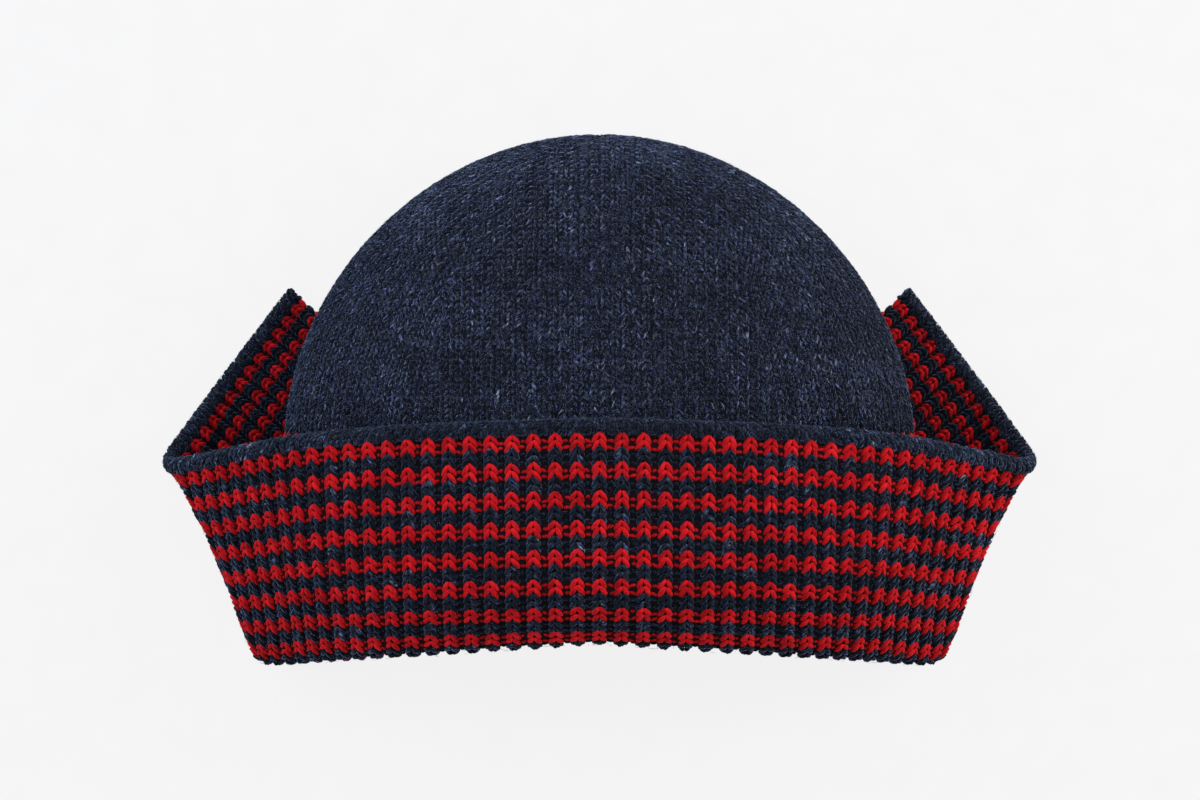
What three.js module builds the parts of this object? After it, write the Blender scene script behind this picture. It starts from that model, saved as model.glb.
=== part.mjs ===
// A knitted flap hat lying on a table, its open side towards -Y and its crown top towards +Y.
// The crown is a puffed dome. A ribbed strip hangs from its rim, folds up at the mouth and turns
// round both sides, so that its two ends lie behind the crown as wings. A plump rolled welt
// finishes the strip's free edge.
//
// Millimetres, +Z up from the table, +X to the wearer's side that shows on the right. The hat is
// the same on both sides of X = 0, and the origin is at the middle of its footprint.
import * as THREE from "three";
import { NURBSCurve } from "three/addons/curves/NURBSCurve.js";

// Driving dimensions

const CROWN = {
  halfWidth: 123.7, // middle of the wall, side to side
  taper: 0.055, // how much narrower than an ellipse it gets towards the top
  length: 117, // rim to top
  halfHeight: 40, // before the underside settles
  wall: 2.6,
  rimY: -12.1,
  centreZ: 38.2,
  floorZ: 5.6, // the underside lies on the wings, this far above the table
  floorBlend: 6,
};

const FLAP = {
  halfWall: 1.6,
  ribDepth: 0.6, // how far a rib stands out from either face
  ribsPerHalf: 38,
  ribStretch: 0.3, // how much wider the ribs are at the centre than on average
  seamGap: 0.3, // between the strip and the crown's rim
  seamRun: 8, // how far the strip carries the crown's wall straight on
  endReach: 0.866, // share of half the rim that the strip goes round
};

// The strip at five levels, from its seam side to its free edge. front is where the level crosses
// the middle, as Y and Z, side is where it creases round the side and end is where it stops behind
// the crown, both as X, Y and Z. bend is the share of its way down to the side that a level has
// gone at its shoulder, and turn is half the thickness of its crease.
const LEVELS = {
  inner: { front: [-52.7, 66], side: [116, -56.7, 27], end: [51, -24.7, 9.5], bend: 0.2, turn: 14 },
  fold: { front: [-89.5, 69], side: [134.5, -102, 10.5], end: [57, -40.7, 5.2], bend: 0.5, turn: 6.5 },
  face: { front: [-74, 88], side: [150, -69.7, 24], end: [88, 9.3, 1], bend: 0.3, turn: 6 },
  upper: { front: [-31.7, 89], side: [161.2, -44.7, 27], end: [107.5, 28.9, 1], bend: 0.2, turn: 6.5 },
  edge: { front: [-14.2, 87], side: [169.3, -28.7, 28], end: [122.8, 40.3, 1.2], bend: 0.14, turn: 6.5 },
};
const SHOULDER = { across: 0.56, drop: 0.1 }; // the bend between centre and side
const CREASE_STEEPNESS = 2.5; // how much more the creases turn down than their legs would
const WING_REST = 0.4; // share of the way from side to end after which a level lies flat
const WING_BULGE = { x: 2.5, y: 1.5 }; // how far a level bows out there
const FOLD_ROLL = 4.2; // half the thickness of the fold at the mouth
const TURN_RUN = 2.2; // how far a rolled turn runs along its two legs, in turn radii

const WELT = {
  halfReach: 3.9, // half its width along the flap
  halfThickness: 2.9,
  gap: 0.3,
  sides: 8,
  stepsPerHalf: 44,
};

const CROWN_STEPS = { around: 56, along: 12 };
// Steps along a section of the strip in spans of its curve, closer together round the fold.
const SECTION_STEPS = [0, 1.2, 2.4, 3.3, 3.7, 4, 4.3, 4.7, 5.3, 6.5, 8];

const COLOURS = { navyKnit: "#23283a", stripedRib: "#6b1f2c", navyWelt: "#1d2233" };

// Helpers

function vector(x, y, z) {
  return new THREE.Vector3(x, y, z);
}

// A smooth curve that starts and ends on its first and last points and is drawn towards the rest.
function softCurve(points) {
  const spans = points.length - 2;
  const knots = [0, 0];
  for (let knot = 0; knot <= spans; knot += 1) knots.push(knot);
  knots.push(spans, spans);
  return new NURBSCurve(2, knots, points.map((point) => new THREE.Vector4(point.x, point.y, point.z, 1)));
}

function direction(from, to) {
  return to.clone().sub(from).normalize();
}

// The four points that lead a soft curve round a rolled turn at a corner. across is half the
// thickness of the turn, from its first leg towards its second.
function rolledTurn(before, corner, after, across) {
  const run = TURN_RUN * across.length();
  const first = corner.clone().sub(across);
  const second = corner.clone().add(across);
  return [
    first.clone().addScaledVector(direction(corner, before), run),
    first,
    second,
    second.clone().addScaledVector(direction(corner, after), run),
  ];
}

function mirrored(point) {
  return vector(-point.x, point.y, point.z);
}

// A closed body between two sheets of points, outer and inner, with rows along the first index.
function shellBetween(outer, inner) {
  const rows = outer.length;
  const columns = outer[0].length;
  const positions = [];
  const index = [];
  for (const sheet of [outer, inner]) {
    for (const row of sheet) {
      for (const point of row) positions.push(point.x, point.y, point.z);
    }
  }
  const outside = (row, column) => row * columns + column;
  const inside = (row, column) => (rows + row) * columns + column;
  const quad = (a, b, c, d) => index.push(a, b, c, a, c, d);
  for (let row = 0; row < rows - 1; row += 1) {
    for (let column = 0; column < columns - 1; column += 1) {
      quad(
        outside(row, column),
        outside(row + 1, column),
        outside(row + 1, column + 1),
        outside(row, column + 1),
      );
      quad(
        inside(row, column),
        inside(row, column + 1),
        inside(row + 1, column + 1),
        inside(row + 1, column),
      );
    }
    const last = columns - 1;
    quad(outside(row, 0), inside(row, 0), inside(row + 1, 0), outside(row + 1, 0));
    quad(outside(row, last), outside(row + 1, last), inside(row + 1, last), inside(row, last));
  }
  for (let column = 0; column < columns - 1; column += 1) {
    const last = rows - 1;
    quad(outside(0, column), outside(0, column + 1), inside(0, column + 1), inside(0, column));
    quad(outside(last, column), inside(last, column), inside(last, column + 1), outside(last, column + 1));
  }
  const geometry = new THREE.BufferGeometry();
  geometry.setAttribute("position", new THREE.Float32BufferAttribute(positions, 3));
  geometry.setIndex(index);
  geometry.computeVertexNormals();
  return geometry;
}

// A closed tube through rings of points, with flat ends.
function tubeThrough(rings) {
  const sides = rings[0].length;
  const positions = [];
  const index = [];
  for (const ring of rings) {
    for (const point of ring) positions.push(point.x, point.y, point.z);
  }
  for (let ring = 0; ring < rings.length - 1; ring += 1) {
    for (let side = 0; side < sides; side += 1) {
      const next = (side + 1) % sides;
      const a = ring * sides + side;
      const b = ring * sides + next;
      index.push(a, b, b + sides, a, b + sides, a + sides);
    }
  }
  const lastRing = (rings.length - 1) * sides;
  for (let side = 1; side < sides - 1; side += 1) {
    index.push(0, side + 1, side);
    index.push(lastRing, lastRing + side, lastRing + side + 1);
  }
  const geometry = new THREE.BufferGeometry();
  geometry.setAttribute("position", new THREE.Float32BufferAttribute(positions, 3));
  geometry.setIndex(index);
  geometry.computeVertexNormals();
  return geometry;
}

function knitMesh(name, geometry, colour) {
  const material = new THREE.MeshStandardMaterial({ color: colour, roughness: 0.95, metalness: 0 });
  const mesh = new THREE.Mesh(geometry, material);
  mesh.name = name;
  return mesh;
}

// Crown

// The underside settles softly on what lies below it: the height of a point that would be at z,
// and how fast that height follows z.
function settle(z) {
  const above = z - CROWN.floorZ - CROWN.wall / 2;
  const root = Math.hypot(above, CROWN.floorBlend);
  return {
    z: CROWN.floorZ + CROWN.wall / 2 + (above + root) / 2,
    slope: (1 + above / root) / 2,
  };
}

// A point of the crown's wall: the way to it out of the middle of the rim's plane, with +Y to the
// top, and how far the point lies outside the middle of the wall.
function crownPoint(way, offset) {
  const settled = settle(CROWN.centreZ + CROWN.halfHeight * way.z);
  const middle = vector(
    CROWN.halfWidth * way.x * (1 - CROWN.taper * way.y),
    CROWN.rimY + CROWN.length * way.y,
    settled.z,
  );
  const normal = vector(
    (way.x / CROWN.halfWidth) * settled.slope,
    (way.y / CROWN.length) * settled.slope,
    way.z / CROWN.halfHeight,
  ).normalize();
  return middle.addScaledVector(normal, offset);
}

// The dome is turned as a round shell, out along the outside of the wall and back along its
// inside, and each of its points is then moved to its place on the crown.
function buildCrown() {
  const roundRadius = 100;
  const profile = [];
  const arc = (radius, from, to) => {
    for (let step = 0; step <= CROWN_STEPS.along; step += 1) {
      const angle = THREE.MathUtils.lerp(from, to, step / CROWN_STEPS.along);
      profile.push(new THREE.Vector2(radius * Math.cos(angle), radius * Math.sin(angle)));
    }
  };
  arc(roundRadius - CROWN.wall / 2, Math.PI / 2, 0);
  arc(roundRadius + CROWN.wall / 2, 0, Math.PI / 2);
  profile[0].x = 0;
  profile[profile.length - 1].x = 0;
  const geometry = new THREE.LatheGeometry(profile, CROWN_STEPS.around);
  const places = geometry.getAttribute("position");
  const point = vector(0, 0, 0);
  for (let vertex = 0; vertex < places.count; vertex += 1) {
    point.fromBufferAttribute(places, vertex);
    const offset = point.length() - roundRadius;
    const placed = crownPoint(point.normalize(), offset);
    places.setXYZ(vertex, placed.x, placed.y, placed.z);
  }
  geometry.computeVertexNormals();
  return knitMesh("crown", geometry, COLOURS.navyKnit);
}

// Flap

// The crown's rim from its top, round one side, towards the middle of its underside.
class RimCurve extends THREE.Curve {
  getPoint(share, target = vector(0, 0, 0)) {
    const angle = share * FLAP.endReach * Math.PI;
    return target.copy(crownPoint(vector(Math.sin(angle), 0, Math.cos(angle)), 0));
  }
}

function levelCurve({ front, side, end, bend, turn }) {
  const [frontY, frontZ] = front;
  const [sideX, sideY, sideZ] = side;
  const centre = vector(0, frontY, frontZ);
  const crease = vector(...side);
  const tail = vector(...end);
  const shoulder = vector(
    SHOULDER.across * sideX,
    THREE.MathUtils.lerp(frontY, sideY, bend),
    THREE.MathUtils.lerp(frontZ, sideZ, SHOULDER.drop),
  );
  const flat = crease.clone().lerp(tail, WING_REST);
  const rest = vector(flat.x + WING_BULGE.x, flat.y + WING_BULGE.y, tail.z);
  const across = direction(crease, tail).sub(direction(crease, shoulder));
  across.setZ(across.z * CREASE_STEEPNESS).setLength(turn);
  return softCurve([centre, shoulder, ...rolledTurn(shoulder, crease, tail, across), rest, tail]);
}

const rimCurve = new RimCurve();
const levelCurves = Object.fromEntries(
  Object.entries(LEVELS).map(([name, level]) => [name, levelCurve(level)]),
);

// The section of the strip along one rib, from the seam round the fold to the free edge. rib runs
// from -1 at the strip's left end to 1 at its right end.
function sectionCurve(rib) {
  const share = Math.abs(rib);
  const along = share + FLAP.ribStretch * share * (1 - share);
  const seam = rimCurve.getPointAt(along);
  seam.y -= FLAP.seamGap;
  const at = (name) => levelCurves[name].getPointAt(along);
  const inner = at("inner");
  const fold = at("fold");
  const face = at("face");
  const across = levelCurves.fold
    .getTangentAt(along)
    .cross(direction(fold, face))
    .setLength(FOLD_ROLL);
  const points = [
    seam,
    vector(seam.x, seam.y - FLAP.seamRun, seam.z),
    inner,
    ...rolledTurn(inner, fold, face, across),
    face,
    at("upper"),
    at("edge"),
  ];
  return softCurve(rib < 0 ? points.map(mirrored) : points);
}

const RIB_NUDGE = 1e-3;
const SPAN_NUDGE = 1e-3;

// Points, outward normals and directions along the section at each of the given steps.
function sheetSection(rib, steps) {
  const before = sectionCurve(Math.max(rib - RIB_NUDGE, -1));
  const after = sectionCurve(Math.min(rib + RIB_NUDGE, 1));
  const section = sectionCurve(rib);
  const spans = SECTION_STEPS[SECTION_STEPS.length - 1];
  return steps.map((step) => {
    const share = step / spans;
    const across = after.getPoint(share).sub(before.getPoint(share));
    const run = section
      .getPoint(Math.min(share + SPAN_NUDGE, 1))
      .sub(section.getPoint(Math.max(share - SPAN_NUDGE, 0)))
      .normalize();
    return {
      point: section.getPoint(share),
      normal: across.cross(run).normalize(),
      run,
    };
  });
}

// Cloth that would dip below the table lies flat on it.
function onTable(point) {
  point.z = Math.max(point.z, 0);
  return point;
}

// The ribs make a wave across the strip: a ridge on its outer face lies between two ridges of its
// inner face, so that the wall keeps its thickness.
function buildFlap() {
  const outer = [];
  const inner = [];
  const halfSteps = 2 * FLAP.ribsPerHalf;
  for (let step = -halfSteps; step <= halfSteps; step += 1) {
    const wave = step % 2 === 0 ? FLAP.ribDepth : -FLAP.ribDepth;
    const section = sheetSection(step / halfSteps, SECTION_STEPS);
    const offsetRow = (offset) =>
      section.map(({ point, normal }) => onTable(point.clone().addScaledVector(normal, offset)));
    outer.push(offsetRow(wave + FLAP.halfWall));
    inner.push(offsetRow(wave - FLAP.halfWall));
  }
  return knitMesh("flap", shellBetween(outer, inner), COLOURS.stripedRib);
}

// Welt

function buildWelt() {
  const rings = [];
  const freeEdge = [SECTION_STEPS[SECTION_STEPS.length - 1]];
  for (let step = -WELT.stepsPerHalf; step <= WELT.stepsPerHalf; step += 1) {
    const [{ point, normal, run }] = sheetSection(step / WELT.stepsPerHalf, freeEdge);
    const middle = point.clone().addScaledVector(run, WELT.gap + WELT.halfReach);
    const ring = [];
    for (let side = 0; side < WELT.sides; side += 1) {
      const angle = ((side + 0.5) / WELT.sides) * 2 * Math.PI;
      const spot = middle
        .clone()
        .addScaledVector(run, WELT.halfReach * Math.cos(angle))
        .addScaledVector(normal, WELT.halfThickness * Math.sin(angle));
      ring.push(onTable(spot));
    }
    rings.push(ring);
  }
  return knitMesh("edge_welt", tubeThrough(rings), COLOURS.navyWelt);
}

// Hat

const hat = new THREE.Group();
hat.name = "flap_hat";
hat.add(buildCrown(), buildFlap(), buildWelt());

export default hat;
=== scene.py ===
"""Dresses a knitted flap hat that lies on a pale table, seen from straight above.

The crown is a navy marl dome of plain knit in four panels. A ribbed strip in red and navy stripes
hangs from its rim, folds up at the mouth and turns round both sides. A rolled navy welt finishes
the strip's free edge. Lengths are in millimetres until a mesh is made, which is in metres.
"""

from __future__ import annotations

import logging
import math
from dataclasses import dataclass, field, fields, replace
from enum import Enum
from typing import Any, Mapping, Sequence

import bmesh
import bpy
import numpy as np
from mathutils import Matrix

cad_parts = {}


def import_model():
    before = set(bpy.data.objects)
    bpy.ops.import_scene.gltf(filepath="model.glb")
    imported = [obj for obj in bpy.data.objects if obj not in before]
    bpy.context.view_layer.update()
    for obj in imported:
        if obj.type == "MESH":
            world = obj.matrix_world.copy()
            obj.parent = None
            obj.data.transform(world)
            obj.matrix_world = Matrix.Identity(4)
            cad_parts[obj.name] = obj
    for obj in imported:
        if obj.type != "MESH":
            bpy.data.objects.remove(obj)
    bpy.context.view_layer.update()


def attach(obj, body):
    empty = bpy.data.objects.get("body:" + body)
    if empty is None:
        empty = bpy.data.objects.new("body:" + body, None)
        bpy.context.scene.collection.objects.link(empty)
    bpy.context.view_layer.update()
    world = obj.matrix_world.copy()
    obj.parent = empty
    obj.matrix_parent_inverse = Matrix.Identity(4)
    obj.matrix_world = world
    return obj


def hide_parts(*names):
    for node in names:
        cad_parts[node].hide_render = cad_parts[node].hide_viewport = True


LOG = logging.getLogger("flap_hat")
METRES = 0.001
BODY = "root"
TABLE_CLEARANCE = 0.05
SEAM = 1e-6
SHORTEST = 1e-12
LINE_SAMPLES = 1201
NOISE_MIDDLE = 0.5
YARN_SIDES = 5
YARN_RINGS = 3
SIDES = (-1.0, 1.0)
POINT_ORDER = (1.0, 7.3, 53.1)

Array = np.ndarray
Pair = tuple[float, float]
Triple = tuple[float, float, float]
Colour = Triple


class Face(Enum):
    """The two faces of the strip: the one that shows on the turned-up front, and its other side."""

    FRONT = 1.0
    REVERSE = -1.0


class Stripe(Enum):
    """The two yarns of the strip."""

    RED = 0
    NAVY = 1


def unit(vectors: Array) -> Array:
    """Scales vectors to length one.

    Args:
        vectors: Vectors along the last axis.

    Returns:
        The same directions with length one.
    """
    return vectors / np.maximum(np.linalg.norm(vectors, axis=-1, keepdims=True), SHORTEST)


def path_lengths(places: Array) -> Array:
    """Measures how far along a path each of its points lies.

    Args:
        places: Points along the path.

    Returns:
        Lengths from the first point.
    """
    steps = np.linalg.norm(np.diff(places, axis=0), axis=1)
    return np.concatenate([[0.0], np.cumsum(steps)])


def from_srgb(red: int, green: int, blue: int) -> Colour:
    """Turns a colour as it is seen on a screen into the shader's linear one.

    Args:
        red: Red from 0 to 255.
        green: Green from 0 to 255.
        blue: Blue from 0 to 255.

    Returns:
        The linear colour.
    """
    shares = (red / 255.0, green / 255.0, blue / 255.0)
    return tuple(s / 12.92 if s <= 0.04045 else ((s + 0.055) / 1.055) ** 2.4 for s in shares)


def ease(value: Array, low: float, high: float) -> Array:
    """Rises smoothly from 0 at low to 1 at high.

    Args:
        value: Values to ease.
        low: Where the rise begins.
        high: Where the rise ends.

    Returns:
        Shares from 0 to 1.
    """
    share = np.clip((value - low) / (high - low), 0.0, 1.0)
    return share * share * (3.0 - 2.0 * share)


def soft_curve(points: Array, spans: Array) -> Array:
    """Follows the smooth curve that starts and ends on its outer points and is drawn to the rest.

    Args:
        points: One row of control points for each sample, shaped (samples, points, 3).
        spans: How far along each sample is, from 0 to the number of points less two.

    Returns:
        One place for each sample.
    """
    last = points.shape[1] - 3
    index = np.clip(spans.astype(int), 0, last)
    share = (spans - index)[:, None]
    rows = np.arange(len(points))
    before, middle, after = (points[rows, index + step] for step in range(3))
    start = np.where((index == 0)[:, None], before, (before + middle) / 2)
    stop = np.where((index == last)[:, None], after, (middle + after) / 2)
    return (1 - share) ** 2 * start + 2 * share * (1 - share) * middle + share**2 * stop


def follow(points: Array, spans: Array) -> Array:
    """Follows one soft curve.

    Args:
        points: Its control points.
        spans: How far along each sample is, from 0 to the number of points less two.

    Returns:
        One place for each sample.
    """
    return soft_curve(np.broadcast_to(points, (len(spans), *points.shape)), spans)


class LevelCurve:
    """One line of the hat that is followed by its length."""

    def __init__(self, places: Array) -> None:
        """Keeps the line.

        Args:
            places: Close points along the line.
        """
        lengths = path_lengths(places)
        self.places = places
        self.shares = lengths / lengths[-1]

    @classmethod
    def drawn(cls, points: Sequence[Array]) -> LevelCurve:
        """Draws the soft curve that a few control points give."""
        return cls(follow(np.array(points), np.linspace(0.0, len(points) - 2.0, LINE_SAMPLES)))

    def at(self, shares: Array) -> Array:
        """Gives places by their share of the length."""
        return np.stack([np.interp(shares, self.shares, axis) for axis in self.places.T], axis=-1)


@dataclass(frozen=True)
class Spots:
    """Places on the knit with the directions that stitches are laid by.

    Attributes:
        place: Points on the middle of the cloth.
        across: Direction across the columns.
        run: Direction along the columns.
        normal: Direction out of the cloth.
    """

    place: Array
    across: Array
    run: Array
    normal: Array

    def where(self, kept: Array) -> Spots:
        """Gives some of the places."""
        return type(self)(*(getattr(self, item.name)[kept] for item in fields(self)))


@dataclass(frozen=True)
class RibSpots(Spots):
    """Places on the rib, with the size that a stitch has there.

    Attributes:
        pitch: Width of one column.
        rise: Height of one course.
    """

    pitch: Array
    rise: Array


@dataclass
class CrownForm:
    """The puffed dome that the crown's knit lies on."""

    half_width: float = 123.7
    taper: float = 0.055
    length: float = 117.0
    half_height: float = 40.0
    wall: float = 2.6
    rim_y: float = -12.1
    centre_z: float = 38.2
    floor_z: float = 5.6
    floor_blend: float = 6.0

    def place(self, turn: Array, rise: Array, offset: float = 0.0) -> Array:
        """Gives points of the crown's wall.

        Args:
            turn: Angle round the rim, 0 on top and a quarter turn at the right side.
            rise: Angle from the rim, 0, to the top of the crown, a quarter turn.
            offset: How far the points lie outside the middle of the wall.

        Returns:
            The points.
        """
        x = np.sin(turn) * np.cos(rise)
        y = np.sin(rise) * np.ones_like(turn)
        z = np.cos(turn) * np.cos(rise)
        above = self.centre_z + self.half_height * z - self.floor_z - self.wall / 2
        root = np.hypot(above, self.floor_blend)
        slope = (1 + above / root) / 2
        middle = np.stack(
            [
                self.half_width * x * (1 - self.taper * y),
                self.rim_y + self.length * y,
                self.floor_z + self.wall / 2 + (above + root) / 2,
            ],
            axis=-1,
        )
        normal = unit(
            np.stack(
                [
                    x / self.half_width * slope,
                    y / self.length * slope,
                    z / self.half_height,
                ],
                axis=-1,
            )
        )
        return middle + offset * normal

    def spots(self, turn: Array, rise: Array) -> Spots:
        """Gives places on the crown with their directions.

        Args:
            turn: Angles round the rim.
            rise: Angles from the rim.

        Returns:
            The places.
        """
        nudge = 1e-4
        place = self.place(turn, rise)
        outward = unit(self.place(turn, rise, 1.0) - place)
        run = unit(self.place(turn, rise + nudge) - self.place(turn, rise - nudge))
        return Spots(place, unit(np.cross(run, outward)), run, outward)


@dataclass(frozen=True)
class Level:
    """One line along the strip, from the middle of its front round the side to its end.

    Attributes:
        front: Place along Y and height of its middle.
        side: Where it turns at the side.
        end: Where it ends behind the crown.
        bend: How far its shoulder has gone along Y from the middle to the side, from 0 to 1.
        turn: Half the thickness of its turn.
    """

    front: Pair
    side: Triple
    end: Triple
    bend: float
    turn: float


LEVELS: dict[str, Level] = {
    "inner": Level((-52.7, 66.0), (116.0, -56.7, 27.0), (51.0, -24.7, 9.5), 0.2, 14.0),
    "fold": Level((-89.5, 69.0), (134.5, -102.0, 10.5), (57.0, -40.7, 5.2), 0.5, 6.5),
    "face": Level((-74.0, 88.0), (150.0, -69.7, 24.0), (88.0, 9.3, 1.0), 0.3, 6.0),
    "upper": Level((-31.7, 89.0), (161.2, -44.7, 27.0), (107.5, 28.9, 1.0), 0.2, 6.5),
    "edge": Level((-14.2, 87.0), (169.3, -28.7, 28.0), (122.8, 40.3, 1.2), 0.14, 6.5),
}


@dataclass
class FlapForm:
    """The folded strip that the rib lies on, followed by columns and by courses from its edge."""

    crown: CrownForm
    half_wall: float = 1.6
    rib_depth: float = 0.6
    columns_per_half: int = 38
    rib_stretch: float = 0.15
    seam_gap: float = 0.3
    seam_run: float = 8.0
    end_reach: float = 0.866
    shoulder_across: float = 0.56
    shoulder_drop: float = 0.1
    crease_steepness: float = 2.5
    wing_rest: float = 0.4
    wing_bulge: Pair = (2.5, 1.5)
    fold_roll: float = 4.2
    turn_run: float = 2.2
    courses: int = 58
    front_courses: int = 32
    course_height: float = 2.75
    edge_tuck: float = 2.0
    wing_course: float = 0.78
    wing_span: Pair = (0.6, 0.8)
    upright_share: float = 0.6
    table_steps: int = 8
    steps_per_course: int = 4
    section_steps: int = 640
    controls: Array = field(init=False, repr=False)
    ribs: Array = field(init=False, repr=False)
    spans: Array = field(init=False, repr=False)
    beyond: Array = field(init=False, repr=False)
    course_steps: Array = field(init=False, repr=False)
    crossings: Array = field(init=False, repr=False)

    def __post_init__(self) -> None:
        """Works out the sections of the strip and where each course crosses them."""
        steps = 2 * self.columns_per_half * self.table_steps + 1
        self.ribs = np.linspace(-1.0, 1.0, steps)
        self.controls = self._sections(self.ribs)
        steps = self.courses * self.steps_per_course + 1
        self.course_steps = np.linspace(0.0, self.courses, steps)
        self.spans, self.beyond = self._course_spans()
        self.crossings = self._crossings()

    def _rolled(self, before: Array, corner: Array, after: Array, across: Array) -> list[Array]:
        """Leads a soft curve round a rolled turn.

        Args:
            before: Points that the curve comes from.
            corner: Points that it turns at.
            after: Points that it goes on to.
            across: Half the thickness of the turn, from its first leg towards its second.

        Returns:
            Four control points.
        """
        run = self.turn_run * np.linalg.norm(across, axis=-1, keepdims=True)
        first, second = corner - across, corner + across
        return [
            first + unit(before - corner) * run,
            first,
            second,
            second + unit(after - corner) * run,
        ]

    def _level(self, level: Level) -> LevelCurve:
        """Draws one line along the strip.

        Args:
            level: Where the line goes.

        Returns:
            The line.
        """
        centre = np.array([0.0, *level.front])
        crease = np.array(level.side)
        tail = np.array(level.end)
        shoulder = np.array(
            [
                self.shoulder_across * crease[0],
                centre[1] + level.bend * (crease[1] - centre[1]),
                centre[2] + self.shoulder_drop * (crease[2] - centre[2]),
            ]
        )
        flat = crease + self.wing_rest * (tail - crease)
        rest = np.array([*(flat[:2] + self.wing_bulge), tail[2]])
        across = unit(tail - crease) - unit(shoulder - crease)
        across[2] *= self.crease_steepness
        across = unit(across) * level.turn
        return LevelCurve.drawn(
            [centre, shoulder, *self._rolled(shoulder, crease, tail, across), rest, tail]
        )

    def _sections(self, ribs: Array) -> Array:
        """Gives the control points of the strip's sections.

        Args:
            ribs: Places along the strip, from -1 at its left end to 1 at its right end.

        Returns:
            Ten control points for each place, from the seam round the fold to the free edge.
        """
        share = np.abs(ribs)
        along = share + self.rib_stretch * share * (1 - share)
        angles = np.linspace(0.0, self.end_reach * math.pi, LINE_SAMPLES)
        rim = LevelCurve(self.crown.place(angles, np.zeros_like(angles)))
        lines = {name: self._level(level) for name, level in LEVELS.items()}
        seam = rim.at(along) - np.array([0.0, self.seam_gap, 0.0])
        start = seam - np.array([0.0, self.seam_run, 0.0])
        inner, fold, face, upper, edge = (lines[name].at(along) for name in LEVELS)
        nudge = 1e-3
        ahead = lines["fold"].at(np.minimum(along + nudge, 1.0))
        behind = lines["fold"].at(np.maximum(along - nudge, 0.0))
        across = unit(np.cross(ahead - behind, face - fold)) * self.fold_roll
        points = np.stack(
            [seam, start, inner, *self._rolled(inner, fold, face, across), face, upper, edge], axis=1
        )
        points[:, :, 0] *= np.where(ribs < 0, -1.0, 1.0)[:, None]
        return points

    def _course_spans(self) -> tuple[Array, Array]:
        """Finds how far along each section each course lies.

        Returns:
            Span values, with one row for each place along the strip and columns by course, and how
            far the first courses reach beyond the strip's free edge, into the welt.
        """
        last = self.controls.shape[1] - 2.0
        fine = np.linspace(last, 0.0, self.section_steps + 1)
        rows, beyond = [], []
        for rib, controls in zip(self.ribs, self.controls):
            lengths = path_lengths(follow(controls, fine))
            wing = float(ease(np.abs(rib), *self.wing_span))
            height = self.course_height * (1 - wing * (1 - self.wing_course))
            knee = height * self.front_courses - self.edge_tuck
            depths = np.interp(
                self.course_steps,
                [0.0, self.front_courses, self.courses],
                [-self.edge_tuck, knee, lengths[-1]],
            )
            rows.append(np.interp(depths, lengths, fine))
            beyond.append(np.maximum(-depths, 0.0))
        return np.array(rows), np.array(beyond)

    def _crossings(self) -> Array:
        """Finds where each column crosses each course, upright on the front.

        Returns:
            Places along the strip, with one row for each column and columns by course.
        """
        half = self.ribs[len(self.ribs) // 2 :]
        lengths = [
            path_lengths(self._section_place(half, np.full(len(half), float(course))))
            for course in range(self.courses + 1)
        ]
        first = lengths[0]
        upright = self.upright_share * first[-1]
        rows = []
        for course, length in enumerate(lengths):
            squeeze = (length[-1] - upright) / (first[-1] - upright)
            wanted = np.minimum(first, upright) + squeeze * np.maximum(first - upright, 0.0)
            kept = np.interp(course, [self.front_courses, self.courses], [1.0, 0.0])
            row = half + kept * (np.interp(wanted, length, half) - half)
            rows.append(np.concatenate([-row[:0:-1], row]))
        return np.array(rows).T

    def _table_place(self, ribs: Array) -> tuple[Array, Array]:
        """Finds places along the strip in its tables.

        Args:
            ribs: Places along the strip.

        Returns:
            The row before each place and the share of the way to the next row.
        """
        spot = (np.clip(ribs, -1.0, 1.0) + 1.0) / 2.0 * (len(self.ribs) - 1)
        row = np.minimum(spot.astype(int), len(self.ribs) - 2)
        return row, spot - row

    def _read(self, table: Array, ribs: Array, courses: Array) -> Array:
        """Reads a table of the strip between its rows and columns.

        Args:
            table: The table, with one row for each place along the strip and columns by course.
            ribs: Places along the strip.
            courses: Courses from the free edge.

        Returns:
            The values.
        """
        row, share = self._table_place(ribs)
        column = np.clip(courses / self.courses, 0.0, 1.0) * (table.shape[1] - 1)
        left = np.minimum(column.astype(int), table.shape[1] - 2)
        part = column - left
        return sum(
            weight_row * weight_column * table[row + step_row, left + step_column]
            for step_row, weight_row in ((0, 1 - share), (1, share))
            for step_column, weight_column in ((0, 1 - part), (1, part))
        )

    def place(self, columns: Array, courses: Array) -> Array:
        """Gives points on the middle of the strip.

        Args:
            columns: Columns of stitches, from -1 at the left end to 1 at the right end.
            courses: Courses from the free edge.

        Returns:
            The points.
        """
        return self._section_place(self._read(self.crossings, columns, courses), courses)

    def _section_place(self, ribs: Array, courses: Array) -> Array:
        """Gives points on the middle of the strip's sections.

        Args:
            ribs: Places along the strip.
            courses: Courses from the free edge.

        Returns:
            The points.
        """
        row, share = self._table_place(ribs)
        spans = self._read(self.spans, ribs, courses)
        beyond = self._read(self.beyond, ribs, courses)
        blend = share[:, None, None]
        controls = (1 - blend) * self.controls[row] + blend * self.controls[row + 1]
        outward = unit(controls[:, -1] - controls[:, -2])
        return soft_curve(controls, spans) + outward * beyond[:, None]

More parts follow.
